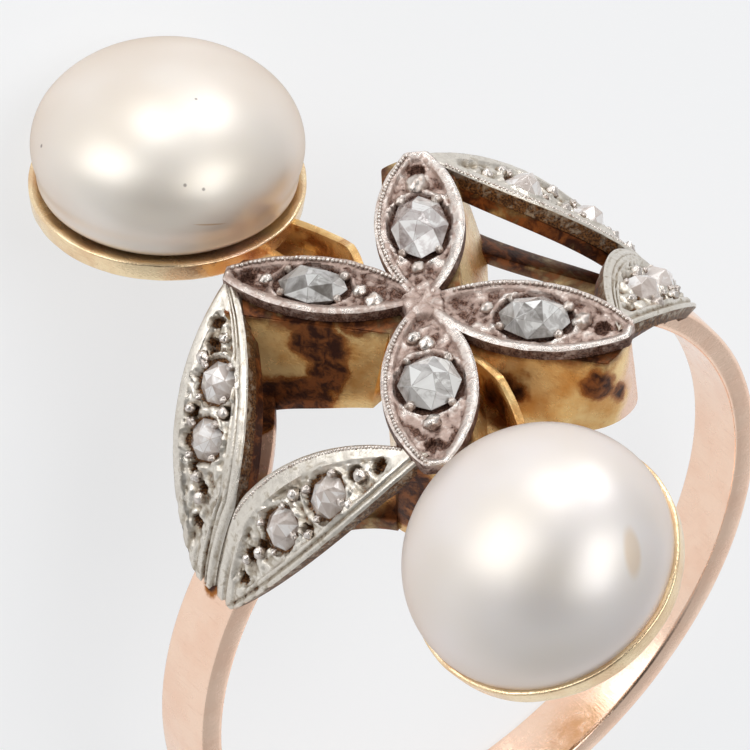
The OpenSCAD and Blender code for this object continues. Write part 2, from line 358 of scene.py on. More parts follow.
band_gold = rose_gold("polished_rose_gold", (0.98, 0.72, 0.56), (0.95, 0.66, 0.50),
                      (0.80, 0.50, 0.36), bias=-0.5, patches=1.2, dents=0.006, metal=1.0,
                      stains=[((-7.5, 0.2, 5.6), 0.42, 0.34)])
head_gold = rose_gold("tarnished_rose_gold", (1.0, 0.73, 0.34), (0.74, 0.38, 0.11),
                      (0.30, 0.12, 0.04), bias=-0.02, patches=0.8, dents=0.03, metal=0.5,
                      stains=[((-2.35, 1.4, 10.0), 0.95, 0.5), ((-2.5, 1.1, 9.2), 0.8, 0.5),
                              ((-2.9, 1.4, 8.5), 0.9, 0.5), ((-3.6, 2.0, 8.1), 1.1, 0.6),
                              ((-2.6, 2.0, 10.9), 0.75, 0.45), ((-1.6, 0.9, 10.9), 0.75, 0.45),
                              ((2.0, -4.56, 9.9), 0.65, 0.5), ((0.1, -3.0, 9.6), 0.9, 0.6),
                              ((2.6, -4.6, 9.2), 0.5, 0.45), ((-3.9, -3.9, 10.4), 1.1, 0.5),
                              ((-3.6, -3.6, 9.5), 1.1, 0.6), ((-3.3, -3.3, 8.6), 0.9, 0.5),
                              ((-0.6, 4.6, 9.6), 0.8, 0.6)],
                      rosy=[((3.3, -4.4, 9.4), 0.9, 0.6), ((3.2, -4.4, 8.3), 1.0, 0.6),
                            ((-4.3, 1.3, 7.8), 1.3, 0.5), ((-4.3, -1.3, 7.8), 1.3, 0.5)])
cup_gold = rose_gold("cup_gold", (0.94, 0.75, 0.48), (0.82, 0.57, 0.34),
                     (0.46, 0.24, 0.11), bias=-0.14, patches=1.3, dents=0.03, metal=0.9,
                     stains=[((-3.7, 5.7, 9.1), 0.5, 0.4), ((-2.9, 5.2, 8.9), 0.4, 0.35)],
                     rosy=[((-2.2, 5.2, 9.4), 1.4, 0.8), ((-4.4, 6.4, 9.6), 0.8, 0.5)])
print("rose golds ready")

# %% [markdown]
# ## Old silver
#
# Silver over a century old is bright where it is rubbed, grey beside that, and brown-black
# in the beds around the stones. The carved height of the surface already says how deep a
# point lies, and noise breaks the border between bright and brown. The sides of the plates
# get the same brown-black, as tarnish and painted shade.

# %% Silver, bright above and brown below
def old_silver(name, bright, grey, dull, dirt_and_shade_deep, dirt_and_shade_light, roughness, bias, dents):
    f = Finish(name)
    cloud = f.grain(0.9, detail=7)
    blotch = f.grain(0.26, detail=8, rough=0.68, warp=0.5)
    speck = f.grain(0.05, detail=4)
    metal = f.between(f.step(blotch, 0.36, 0.66), grey, bright)
    warm = f.times(f.step(cloud, 0.5, 0.75), 0.35)
    metal = f.between(warm, metal, dull)
    held_and_shaded = f.plus(f.plus(f.stored("tarnish_and_shade"), f.swing(blotch, 2.0)), bias)
    skin = f.between(f.times(f.step(held_and_shaded, 0.08, 0.45), 0.92), metal, dull)
    tarnish_and_shade = f.step(held_and_shaded, 0.5, 0.9)
    # Brown-black: tarnish in the beds, and painted shade on the plates' sides.
    dirt_and_shade = f.between(f.step(speck, 0.38, 0.66), dirt_and_shade_deep, dirt_and_shade_light)
    rough = f.level(f.step(cloud, 0.35, 0.7), roughness, roughness + 0.14)
    rough = f.level(f.step(held_and_shaded, 0.1, 0.6), rough, 0.55)
    fine = f.bump(speck, 0.012, 0.6)
    return f.done(
        Base_Color=f.between(tarnish_and_shade, skin, dirt_and_shade), Roughness=rough,
        Metallic=f.level(tarnish_and_shade, 1.0, 0.5), Normal=f.bump(blotch, dents, 0.6, under=fine))


petal_silver = old_silver("petal_silver", (0.94, 0.90, 0.85), (0.64, 0.56, 0.51),
                          (0.46, 0.34, 0.29), (0.05, 0.017, 0.009), (0.25, 0.135, 0.095),
                          roughness=0.20, bias=-0.04, dents=0.07)
leaf_silver = old_silver("leaf_silver", (0.86, 0.81, 0.73), (0.65, 0.60, 0.53),
                         (0.46, 0.40, 0.32), (0.035, 0.012, 0.004), (0.26, 0.12, 0.04),
                         roughness=0.26, bias=-0.02, dents=0.02)
bead_silver = old_silver("bead_silver", (0.90, 0.85, 0.80), (0.64, 0.57, 0.52),
                         (0.46, 0.36, 0.30), (0.05, 0.018, 0.010), (0.22, 0.12, 0.09),
                         roughness=0.22, bias=0.0, dents=0.03)
print("silvers ready")

# %% [markdown]
# ## The band
#
# A goldsmith bends a flat strip round a mandrel and files its outer edges soft. Here one
# profile, flat inside and slightly crowned outside, is carried round the finger hole. A
# little slow noise on the radius keeps it from looking machined.

# %% Carry the profile round the finger
FINGER_R, BAND_T, BAND_HALF, BAND_END, BAND_STEPS = 8.6, 0.7, 0.935, 42, 260
work = Work()
profile = softened([(0, -BAND_HALF), (BAND_T - 0.03, -BAND_HALF), (BAND_T, 0),
                    (BAND_T - 0.03, BAND_HALF), (0, BAND_HALF)], 0.16, steps=5)
rows = []
ends = math.radians(180 - BAND_END), math.radians(360 + BAND_END)
for angle in np.linspace(*ends, BAND_STEPS):
    c, s = math.cos(angle), math.sin(angle)
    row = []
    for out, y in profile:
        dent = 0.012 * rub(c * 9, y, s * 9, 1.6) * (out > 0.05)
        r = FINGER_R + out - abs(dent)
        row.append((r * c, y, r * s))
    rows.append(row)
work.skin(rows, 0.0)
make_piece("band", work, band_gold, ["gold_frame"])

# %% [markdown]
# ## The pearl cups
#
# Each cup is beaten from sheet to the underside of its button pearl, and its lip is filed
# flat. A lathe profile gives that shape at once: down the outside, under the pearl and up
# to the lip. Next to the pearl the inner slope is darker: tarnish where no cloth reaches, and
# painted shade in the gap under the pearl.

# %% Turn the two cups
def seat(centre, lean):
    """The place of a pearl: its middle, tipped towards X and Y."""
    tip = Euler((math.radians(-lean[1]), math.radians(lean[0]), 0), "XYZ").to_matrix()
    return Matrix.Translation(centre) @ tip.to_4x4()


PEARLS = {
    "far": dict(seat=seat((-1.7, 8.6, 11.32), (11, 3)), half=3.58, flat=0.62, full=0.07,
                rim=-1.18, rim_r=3.65),
    "near": dict(seat=seat((-3.5, -9.2, 11.72), (-20, 1)), half=3.45, flat=0.76, full=0.0,
                 rim=-0.5, rim_r=3.53),
}
CUP_T, CUP_LIP, CUP_GAP, TURNS = 0.32, 0.2, 0.05, 144
UNDER_STEPS, DENTS_FROM = 12, 2.9


def cup_profile(pearl):
    under = [(s * pearl["half"], -pearl["half"] * pearl["flat"] * math.sqrt(1 - s * s) - CUP_GAP)
             for s in np.linspace(0.02, 0.74, UNDER_STEPS)]
    rim, r = pearl["rim"], pearl["rim_r"]
    lip = softened([under[-1], (r - CUP_LIP, rim - 0.02), (r - 0.08, rim), (r, rim - 0.03),
                    (r - 0.06, rim - 0.55), (r - 0.55, rim - 1.0 if rim > -1 else rim - 0.75)],
                   0.07, steps=4, closed=False)
    outside = [(a, b - CUP_T) for a, b in reversed(under[:-3])]
    return under[:-1] + [tuple(p) for p in lip] + outside


for side, pearl in PEARLS.items():
    work = Work()
    profile = cup_profile(pearl)
    rows = []
    for turned in full_turn(TURNS):
        c, s = math.cos(turned), math.sin(turned)
        row = []
        for i, (r, h) in enumerate(profile):
            dent = abs(0.010 * rub(c * r, s * r, h, 0.5, seed=3)
                       + 0.035 * rub(c * r, s * r, 0, 1.7, seed=8)) * (r > DENTS_FROM)
            sag = 0.06 * abs(rub(c * r, s * r, 0, 1.3, seed=12)) * ease(r, 3.0, 3.3)
            # Tarnish and painted shade: darker on the inner slope next to the pearl.
            inner = h < pearl["rim"] - 0.03 and r < pearl["rim_r"] - 0.12
            near_pearl = i < UNDER_STEPS - 1
            row.append((pearl["seat"] @ Vector(((r - dent) * c, (r - dent) * s, h - sag)),
                        0.5 if inner and near_pearl else 0.1 if inner else 0.15))
        rows.append(row)
    work.skin(rows, round_trip=True)
    make_piece(f"{side}_cup", work, cup_gold, ["gold_frame"])

# %% [markdown]
# ## Boxes under the petals
#
# Under each petal stands a gold box with a round end, open to the finger so that light and
# air get to the stones. Its sides lean out on the way down. Each wall is one skin between
# an outline at the top and the same outline further down, cut to the finger hole.

# %% Raise the walls of the boxes
PETAL_Z, BOX_TOP, BOX_HALF, BOX_FLARE = 11.0, 10.59, 0.95, 0.25
BOX_FOOT, BOX_REACH, BOX_WALL = 1.6, 5.35, 0.4
WALL_TOP = BOX_TOP - 0.03
PETAL_TURNS = [54.2, 127.9, 235.2, 306.6]
BOX_LEANS = [(0.04, 0.2), (BOX_FLARE, BOX_FLARE), (0.15, 0.1), (BOX_FLARE, BOX_FLARE)]
END_AT = BOX_REACH - BOX_FOOT


def box_line(height, inset, notch_left, notch_right, lean_left, lean_right):
    """The outline of a box at a height: out along one side, round the end and back."""
    end_r = BOX_FOOT - inset
    sides = []
    for lean in (lean_left, lean_right):
        half = min(BOX_HALF + (BOX_TOP - height) * lean, BOX_FOOT) - inset
        bend = END_AT + math.sqrt(max(end_r ** 2 - half ** 2, 0))
        sides.append((half, bend, math.asin(min(half / end_r, 1))))
    (left_y, left_x, start), (right_y, right_x, stop) = sides
    left = [(x, left_y) for x in np.linspace(left_y * notch_left, left_x - 0.05, 16)]
    arc = [(END_AT + end_r * math.cos(a), end_r * math.sin(a))
           for a in np.linspace(start * 0.97, -stop * 0.97, 22)]
    right = [(x, -right_y) for x in np.linspace(right_x - 0.05, right_y * notch_right, 16)]
    return left + arc + right


def spun(x, y, degrees):
    c, s = circle_at(degrees)
    return x * c - y * s, x * s + y * c


def on_finger(x, lift=0.0):
    r = FINGER_R + lift
    return math.sqrt(max(r * r - x * x, 0))


work = Work()
for i, angle in enumerate(PETAL_TURNS):
    after = (PETAL_TURNS[(i + 1) % 4] - angle) % 360
    before = (angle - PETAL_TURNS[i - 1]) % 360
    notches = [1 / math.tan(math.radians(d / 2)) for d in (after, before)] + list(BOX_LEANS[i])
    columns = []
    for level in np.linspace(0, 1, 15):
        outer, inner = [], []
        for inset, line in ((0, outer), (BOX_WALL, inner)):
            z = WALL_TOP
            for _ in range(3):
                guess = box_line(z, inset, *notches)
                low = [on_finger(spun(x, y, angle)[0]) for x, y in guess]
                z = WALL_TOP - level * (WALL_TOP - min(low))
            for (x, y), floor in zip(box_line(z, inset, *notches), low):
                wx, wy = spun(x, y, angle)
                height = max(WALL_TOP - level * (WALL_TOP - floor), on_finger(wx))
                push = 0.03 * rub(wx, wy, height, 0.8, seed=i)
                line.append((wx + push, wy + push, height))
        # Tarnish and painted shade: walls darkest just under the petal, a little darker towards
        # the finger, and dark on their inner face.
        foot = 0.12 + 0.3 * max(0, level - 0.6) + 3.0 * max(0, 0.2 - level)
        columns.append([(p, foot) for p in outer] + [(p, 0.75) for p in inner[::-1]])
    work.skin(columns)
    # The roof under the petal is dark: painted shade.
    roof = []
    for lift in (0, -0.3):
        roof.append([(*spun(x, y, angle), BOX_TOP + lift) for x, y in
                     box_line(BOX_TOP, 0.02, *notches)] + [(0, 0, BOX_TOP + lift)])
    work.skin(roof, 0.85)
make_piece("petal_boxes", work, head_gold, ["gold_frame"])

# %% [markdown]
# ## Arms to the cups
#
# Between the head and each cup runs a small trough: a straight wall on the left, a bowed
# one on the right and a floor that follows the finger. The cups sit in dished tops, so each
# wall's height comes from a saddle curve.

# %% Bend the arm walls
ARM_TOP, ARM_T, ARM_FLOOR, SADDLE_R, SADDLE_Y, SADDLE_Z = 10.5, 0.22, 0.4, 4.2, 5.4, 14.02


def arm_height(y):
    dish = SADDLE_R ** 2 - (abs(y) - SADDLE_Y) ** 2
    return min(ARM_TOP, SADDLE_Z - math.sqrt(dish)) if dish > 0 else ARM_TOP


def wall(work, line, inward, shade):
    """A thin wall along a line in plan, from the finger hole up to the saddle."""
    rows = []
    for i, (x, y) in enumerate(line):
        ax, ay = line[max(i - 1, 0)]
        bx, by = line[min(i + 1, len(line) - 1)]
        long = math.hypot(bx - ax, by - ay)
        nx, ny = inward * -(by - ay) / long, inward * (bx - ax) / long
        low, high = on_finger(x), arm_height(y) + 0.015 * rub(x, y, 0, 0.5)
        face = softened([(0, low), (0, high), (ARM_T, high), (ARM_T, low)], 0.05, steps=3)
        rows.append([(x + nx * a, y + ny * a, max(b, on_finger(x + nx * a))) for a, b in face])
    work.skin(rows, shade)


work = Work()
ARMS = [((-3.4, 3.9), 3.6, 5, 1.4, 6.3), ((-3.5, -2.75), 3.65, -16, -6.8, -1.4)]
for (cx, cy), r, lean, y0, y1 in ARMS:
    lean = math.radians(lean)

    def left_x(y):
        return -(1 + y * math.sin(lean)) / math.cos(lean)

    ys = np.linspace(y0, y1, 60)
    bow = [(cx + math.sqrt(max(r * r - (y - cy) ** 2, 0)), y) for y in ys]
    bow = [(x, y) for x, y in bow if x > left_x(y) + ARM_T and abs(y - cy) < r * 0.97]
    wall(work, bow, 1, 0.36)
    wall(work, [(left_x(y), y) for y in ys], -1, 0.3)
    rows = []
    for x_right, y in bow:
        xs = np.linspace(left_x(y) + 0.05, x_right - 0.05, 10)
        rows.append([(x, y, on_finger(x, ARM_FLOOR)) for x in xs] +
                    [(x, y, on_finger(x, 0.01)) for x in xs[::-1]])
    work.skin(rows, 0.5)
make_piece("cup_arms", work, head_gold, ["gold_frame"])

# %% [markdown]
# ## Leaves: one way to place a point
#
# The four leaves follow a dome down to the shoulders. A leaf is drawn on a plane tipped to
# its mean slope, so every piece of it, gold back, silver, beads and stones, uses the same
# function to get from that drawing to the ring.

# %% From a leaf's drawing to the ring
DOME_R, DOME_Z, LEAF_SLOPE = 7.7, 3.88, 51
LEAF_TIP, LEAF_FOOT = np.array([-3.55, 4.15]), np.array([4.31, 0.09])
LEAF_SIDES = [(-1, 1), (-1, -1), (1, 1), (1, -1)]
LEAF_IN, LEAF_OUT = 1.8, 0.7
leaf_run = LEAF_FOOT - LEAF_TIP
leaf_len = float(np.hypot(*leaf_run))
leaf_axis = leaf_run / leaf_len
leaf_side = np.array([-leaf_axis[1], leaf_axis[0]])


def on_leaf(u, y, height, side):
    theta = math.radians(LEAF_SLOPE) + math.asin(max(-1, min(1, u / DOME_R)))
    r = DOME_R + height
    return side[0] * r * math.sin(theta), side[1] * y, DOME_Z + r * math.cos(theta)


def leaf_place(along, across):
    return LEAF_TIP + along * leaf_axis + across * leaf_side


def off_finger(point):
    """Push a point out of the finger hole."""
    x, y, z = point
    grow = max(1.0, (FINGER_R + 0.02) / math.hypot(x, z))
    return x * grow, y, z * grow


def along_leaf(u, y):
    step = np.array([u, y]) - LEAF_TIP
    return float(step @ leaf_axis), float(step @ leaf_side)


def arc_at(u, bulge, sign, trim=0.0):
    """The Y of a leaf's outer (+1) or inner (-1) edge at u."""
    length = leaf_len - 2 * trim
    r = (length * length / 4 + bulge * bulge) / (2 * bulge)
    centre = leaf_place(leaf_len / 2, sign * (bulge - r))
    under = r * r - (u - centre[0]) ** 2
    return None if under < 0 else centre[1] + sign * math.sqrt(under)


print("leaf length", round(leaf_len, 2), "mm")

# %% [markdown]
# ## Gold under the leaves
#
# The silver leaves are lined with gold, a thin plate each, and curved rails carry them from
# the finger side. Both show as warm edges beside and below the silver. Under the leaves both
# are painted dark as shade, with tarnish: the backs all over, the rails where they pass under
# a leaf and all along the two rails at positive X.

# %% Gold backs and rails
BACK_OFF, BACK_T, BACK_IN, BACK_OUT, BACK_TRIM = -0.45, 0.34, 1.75, 0.35, 0.1
work = Work()
for side in LEAF_SIDES:
    rows = []
    for u in np.linspace(-3.3, 3.9, 80):
        low, high = arc_at(u, BACK_IN, -1, BACK_TRIM), arc_at(u, BACK_OUT, 1, BACK_TRIM)
        low = max(low, 0.0) if low is not None else 0.0
        if high is None or high - low < 0.05:
            continue
        ys = np.linspace(low, high, 9)
        rows.append([off_finger(on_leaf(u, y, BACK_OFF, side)) for y in ys] +
                    [off_finger(on_leaf(u, y, BACK_OFF - BACK_T, side)) for y in ys[::-1]])
    # The gold backs are dark all over: painted shade under the silver, with tarnish.
    work.skin(rows, 1.0)
make_piece("leaf_backs", work, head_gold, ["gold_frame"])

RAIL_AT, RAIL_R, RAIL_W, RAIL_T = (8.5, 5.5), 6, 0.8, 0.42
RAIL_FROM, RAIL_TO = math.radians(205), math.radians(244)
work = Work()
for side in LEAF_SIDES:
    rows = []
    for turned in np.linspace(RAIL_FROM, RAIL_TO, 44):
        face = []
        for r, lift in softened([(RAIL_R, 0), (RAIL_R, RAIL_T), (RAIL_R - RAIL_W, RAIL_T),
                                 (RAIL_R - RAIL_W, 0)], 0.08, steps=3):
            x, y = RAIL_AT[0] + r * math.cos(turned), RAIL_AT[1] + r * math.sin(turned)
            # Painted shade with tarnish: dark where the rail runs under the leaf, and all along
            # the rails at positive X.
            face.append(((side[0] * x, side[1] * max(y, 0.06), on_finger(x, lift)),
                         0.8 if side[0] > 0 or r < RAIL_R - 0.3 else 0.0))
        rows.append(face)
    work.skin(rows)
make_piece("leaf_rails", work, head_gold, ["gold_frame"])

# %% [markdown]
# ## Carving silver
#
# A setter cuts a bed into the silver, leaves a border standing, and raises a few grains
# from the metal to hold each stone. We carve the same way: a dense skin over the outline,
# with a height for each point that drops from the border into the bed, and darkness that
# grows with depth.

# %% A plate with a carved face
EDGE_STEPS = [0, 0.015, 0.04, 0.10, 0.17, 0.22, 0.26, 0.29, 0.33]
MIDDLE, EDGE_DROP = 30, 0.07


def across_steps(low, high):
    """Places across a plate, close together in its borders."""
    width = high - low
    share = min(1, width / (2.6 * EDGE_STEPS[-1]))
    steps = [s * share for s in EDGE_STEPS]
    middle = np.linspace(low + steps[-1], high - steps[-1], MIDDLE + 2)[1:-1]
    return [low + s for s in steps] + list(middle) + [high - s for s in steps[::-1]]


def carved_plate(work, stations, edges, carve, place, thick):
    rows = []
    for x in stations:
        low, high = edges(x)
        row = []
        for y in across_steps(low, high):
            height, tarnish_and_shade = carve(x, y, y - low, high - y)
            row.append((place(x, y, height), tarnish_and_shade))
        # The plate's sides under its top edge are dark: tarnish and painted shade.
        row += [(place(x, y, depth), tarnish_and_shade) for y, depth, tarnish_and_shade in (
            (high, -EDGE_DROP, 0.75), (high, -thick, 1.0), (low, -thick, 1.0),
            (low, -EDGE_DROP, 0.75))]
        rows.append(row)
    work.skin(rows)


def bowl(distance, radius, depth, soft):
    """How far a round pit lowers the surface at a distance from its middle."""
    return -depth * (1 - ease(distance, radius - soft, radius))


print("carving tools ready")

# %% [markdown]
# ## Petals
#
# Each petal is a long blade with one big stone, a grain or two beyond it and a drilled
# hole near its tip. Its border is narrow and bright on one side and carries beads on the
# other. The bed around the stone is brown.

# %% Carve the four petals
PETALS = [
    dict(turn=PETAL_TURNS[0], age=0.0, end=5.2, half=1.17, at=2.6, size=(2.2, 1.5),
         hole=4.62, shift=0, grains=[(4.1, 0, 0.34), (1.2, 0.1, 0.2)], beads=1),
    dict(turn=PETAL_TURNS[1], age=0.25, end=5.3, half=0.95, at=2.95, size=(1.86, 1.24),
         hole=4.7, shift=-0.1, beads=-1,
         grains=[(1.7, -0.1, 0.22), (1.25, 0.2, 0.3), (4.2, -0.1, 0.2)]),
    dict(turn=PETAL_TURNS[2], age=0.05, end=5.6, half=1.24, at=2.77, size=(1.86, 1.66),
         hole=4.8, shift=0, beads=-1,
         grains=[(1.45, 0, 0.26), (1.2, -0.3, 0.22), (4.1, 0, 0.26)]),
    dict(turn=PETAL_TURNS[3], age=0.08, end=5.5, half=1.17, at=2.93, size=(1.9, 1.5),
         hole=4.72, shift=0, grains=[(1.65, 0.1, 0.2), (4.15, 0.1, 0.28)], beads=1),
]
PETAL_START, PETAL_RIM, BED, PETAL_T, PETAL_STATIONS = 0.2, 0.28, 0.18, 0.38, 150


def on_petal(x, y, height, petal):
    return (*spun(x, y, petal["turn"]), PETAL_Z + height)


def petal_half(petal, x):
    """Half the width of a petal: a long blade whose ends are rounded off."""
    length = petal["end"] - PETAL_START
    middle = PETAL_START + length / 2
    over = length + 0.6
    r = (over * over / 4 + petal["half"] ** 2) / (2 * petal["half"])
    blade = math.sqrt(r * r - (x - middle) ** 2) - (r - petal["half"])
    circle = math.sqrt(max((length / 2) ** 2 - (x - middle) ** 2, 0))
    return max(min(blade, circle), 0.02)


def carve_petal(petal, seed):
    tip = petal["end"]

    def carve(x, y, from_low, from_high):
        edge = min(from_low, from_high, (tip - x) * 1.2, (x - PETAL_START) * 1.6)
        bed = ease(edge, PETAL_RIM - 0.01, PETAL_RIM + 0.07)
        rough = rub(x, y, 0, 0.16, seed) * 0.5 + rub(x, y, 0, 0.38, seed + 7)
        slope = ease(edge, 0.11, 0.27)
        height = -0.05 * (1 - ease(edge, 0, 0.07)) - 0.06 * slope - (BED - 0.06) * bed
        height += (0.08 * rough + 0.04 * rub(x, y, 0, 0.1, seed + 23)) * bed
        height += 0.03 * rub(x, y, 0, 0.5, seed + 19) * (1 - bed)
        tarnish_and_shade = petal["age"] + 0.04 + 0.26 * slope + 0.22 * bed - 0.6 * rough * bed
        tarnish_and_shade += 0.25 * ease(0.9 - math.hypot(x, y), 0, 0.5)
        side = from_high if petal["beads"] > 0 else from_low
        tarnish_and_shade += 0.08 * (side == min(from_low, from_high))
        trough = ridge(side, 0.13, 0.06) * (edge == side or edge > 0.05)
        height -= 0.045 * trough
        tarnish_and_shade += 0.2 * trough
        ax, ay = x - petal["at"], y - petal["shift"]
        a, b = petal["size"][0] / 2, petal["size"][1] / 2
        share = math.hypot(ax / a, ay / b)
        beyond = (share - 1) * (a + b) / 2
        beyond += 0.05 * rub(x, y, 0, 0.3, seed + 29)
        collar = ridge(beyond, 0.16, 0.07)
        height += 0.09 * collar * bed
        tarnish_and_shade -= 0.35 * collar * bed
        if beyond < 0.07:
            height, tarnish_and_shade = min(height, -0.26 + beyond * 0.3), 1.0
        hole = math.hypot(x - petal["hole"], (y - petal["shift"]) * 0.9)
        hole += 0.05 * rub(x, y, 0, 0.1, seed + 11)
        height += bowl(hole, 0.2, 0.45, 0.07)
        tarnish_and_shade += 0.9 * (1 - ease(hole, 0.14, 0.28))
        return max(height, -PETAL_T + 0.02), min(max(tarnish_and_shade, 0), 1)
    return carve


work = Work()
for i, petal in enumerate(PETALS):
    def edges(x):
        half = petal_half(petal, x)
        return petal["shift"] - half, petal["shift"] + half

    def place(x, y, height):
        return on_petal(x, y, height, petal)

    length = petal["end"] - PETAL_START
    stations = PETAL_START + 0.01 + (length - 0.02) * np.linspace(0, 1, PETAL_STATIONS)
    carved_plate(work, stations, edges, carve_petal(petal, 5 * i + 1), place, PETAL_T)

HUB_R, HUB_RISE, HUB_RINGS, HUB_TURNS = 0.66, 0.015, 16, 72
rows = []
for r in np.linspace(0.02, 1, HUB_RINGS):
    row = []
    for turned in full_turn(HUB_TURNS):
        reach = HUB_R * (1 + 0.25 * rub(math.cos(turned), math.sin(turned), 0, 0.5, 2))
        cut = max(0, math.sin(turned * 6 + 5 * rub(r, turned, 0, 0.7))) ** 2
        x, y = reach * r * math.cos(turned), reach * r * math.sin(turned)
        drop = ease(r, 0.75, 1)
        lump = 0.04 * rub(x, y, 0, 0.3, 6)
        z = PETAL_Z + HUB_RISE * (1 - drop) - 0.25 * drop - 0.09 * cut * r + lump
        row.append(((x, y, z), 0.4 + 0.5 * cut * r + 0.3 * drop - 1.5 * lump * r))
    rows.append(row)
work.skin(rows)
make_piece("petals", work, petal_silver, ["silver_top"], sharp=60)

# %% [markdown]
# ## Leaves
#
# A leaf has a broad border, widest on its inner side. The engraver drew a groove along the
# outer border of two leaves and three fine lines along the inner border of two. Between and
# beyond the stones the setter's cuts have left small dark pits. The two leaves on each side
# meet in a groove. Towards the shoulder they are fluted, and they are cut off square there.

# %% Carve the four leaves
SILVER_T, LEAF_STONE_D = 0.42, 1.16
LEAF_STONES = [[(2.76, -0.5), (4.27, -0.35)], [(3.0, -0.42), (4.75, -0.42)],
               [(2.88, -0.52), (4.95, -0.5)], [(2.9, -0.42), (4.75, -0.42)]]
LEAF_PITS = [
    [(1.83, -0.14), (1.25, -0.1), (3.5, -0.98), (3.6, 0.12), (5.0, -0.05), (5.5, -0.35),
     (6.4, -0.1)],
    [(2.0, -0.55), (1.3, -0.4), (3.9, -0.98), (3.88, 0.1), (5.55, -0.35), (6.1, -0.42),
     (6.75, -0.1)],
    [(1.8, -0.3), (3.9, -0.95), (3.9, 0.1), (5.9, -0.3)],
    [(1.27, -0.19), (3.82, -0.95), (2.05, -0.3), (3.8, 0.2), (5.6, -0.4), (6.3, -0.1)],
]
LEAF_LAST, LEAF_STATIONS = 3.57, 170
OUTER_BORDER, INNER_BORDER = 0.36, 0.48
LEAF_LINES = [(0, 1), (1, 0), (0, 0), (1, 1)]


def leaf_edges(u):
    low, high = arc_at(u, LEAF_IN, -1), arc_at(u, LEAF_OUT, 1)
    low = max(low, 0.0) if low is not None else high - 0.04
    return min(low, high - 0.04), high


def carve_leaf(number):
    seed = 31 + 7 * number

    def carve(u, y, from_low, from_high):
        along, across = along_leaf(u, y)
        inner = from_low * 0.8
        edge = min(from_high, inner, LEAF_LAST - u)
        height = -0.05 * (1 - ease(edge, 0, 0.06))
        if y < 0.12:
            height -= 0.05 * (1 - ease(y, 0, 0.12))
        outer_line, inner_line = LEAF_LINES[number]
        thread = outer_line * ridge(from_high, 0.2, 0.05)
        for at in (INNER_BORDER - 0.08, INNER_BORDER - 0.2, 0.1):
            thread = max(thread, inner_line * ridge(inner, at, 0.022))
        thread *= ease(edge, 0.04, 0.1)
        height -= 0.07 * thread
        bed = ease(from_high, OUTER_BORDER, OUTER_BORDER + 0.06)
        bed *= ease(inner, INNER_BORDER, INNER_BORDER + 0.06)
        bed *= ease(along, 0.9, 1.15) * (1 - ease(along, 6.9, 7.2))
        rough = rub(u, y, number, 0.14, seed) * 0.5 + rub(u, y, number, 0.3, seed + 5)
        height += -0.12 * bed + 0.10 * rough * bed + 0.012 * rub(u, y, 0, 0.3, seed + 9)
        flute = ease(u, 1.2, 2.4) * max(0, math.sin(2 * math.pi * y / 0.36)) * (1 - bed)
        height -= 0.05 * flute
        tarnish_and_shade = 0.08 + 0.6 * thread + 0.3 * flute + bed * (0.2 - 0.8 * rough)
        for sx, sy in LEAF_STONES[number]:
            beyond = math.hypot(along - sx, across - sy) - LEAF_STONE_D / 2
            beyond += 0.07 * rub(u, y, 0, 0.25, seed + 3)
            collar = ridge(beyond, 0.15, 0.06)
            height += 0.08 * collar
            tarnish_and_shade -= 0.5 * collar
            if beyond < 0.06:
                height, tarnish_and_shade = min(height, -0.2 + beyond * 0.3), 1.0
        for px, py in LEAF_PITS[number]:
            away = math.hypot(along - px, across - py) + 0.09 * rub(u, y, px, 0.12, seed)
            height += bowl(away, 0.21, 0.3, 0.1)
            tarnish_and_shade += 1 - ease(away, 0.12, 0.24)
        return max(height, -SILVER_T + 0.02), min(max(tarnish_and_shade, 0), 1)
    return carve


work = Work()
for number, side in enumerate(LEAF_SIDES):
    def place(u, y, height):
        return on_leaf(u, y, height, side)

    stations = np.linspace(LEAF_TIP[0] + 0.02, LEAF_LAST, LEAF_STATIONS)
    carved_plate(work, stations, leaf_edges, carve_leaf(number), place, SILVER_T)
make_piece("leaves", work, leaf_silver, ["silver_top"], sharp=60)

# %% [markdown]
# ## Grains and beaded borders
#
# A grain is a curl of silver pushed over a stone's edge and rounded with a beading tool.
# The beaded border is a row of the same, rolled much smaller. Each bead is a small ball,
# a little squashed and never quite in line, so the rows look hand made.

# %% Little balls of silver
random.seed(11)


def unit_ball(sides, rings):
    points = [(0, 0, 1)]
    for i in range(1, rings):
        for j in range(sides):
            points.append(on_ball(math.pi * i / rings, 2 * math.pi * j / sides))
    points.append((0, 0, -1))
    faces = [(0, 1 + j, 1 + (j + 1) % sides) for j in range(sides)]
    for i in range(rings - 2):
        a, b = 1 + i * sides, 1 + (i + 1) * sides
        faces += [(a + j, b + j, b + (j + 1) % sides, a + (j + 1) % sides) for j in range(sides)]
    last, end = 1 + (rings - 2) * sides, len(points) - 1
    faces += [(end, last + (j + 1) % sides, last + j) for j in range(sides)]
    return np.array(points), faces


FINE_BALL, ROUND_BALL = unit_ball(10, 6), unit_ball(16, 10)


def ball(work, centre, sizes, shape, shade, wobble=0.0, seed=0.0):
    points, faces = shape
    put = []
    for p in points:
        swell = 1 + wobble * rub(*p, 0.6, seed)
        put.append(tuple(centre[k] + p[k] * sizes[k] * swell for k in range(3)))
    work.mesh(put, faces, [shade + 0.5 * (p[2] < -0.1) for p in points])


def bead_row(work, line, pitch, radius, shade):
    """Beads at an even pitch along a line of points, each a little out of place."""
    line = [np.array(p) for p in line]
    gone, next_at = 0.0, 0.0
    for a, b in zip(line, line[1:]):
        length = float(np.linalg.norm(b - a))
        while next_at <= gone + length:
            p = a + (b - a) * (next_at - gone) / length
            r = radius * random.uniform(0.86, 1.12)
            p = p + np.array([random.uniform(-0.008, 0.008) for _ in range(3)])
            ball(work, p, (r, r, r * 0.9), FINE_BALL, shade)
            next_at += pitch
        gone += length


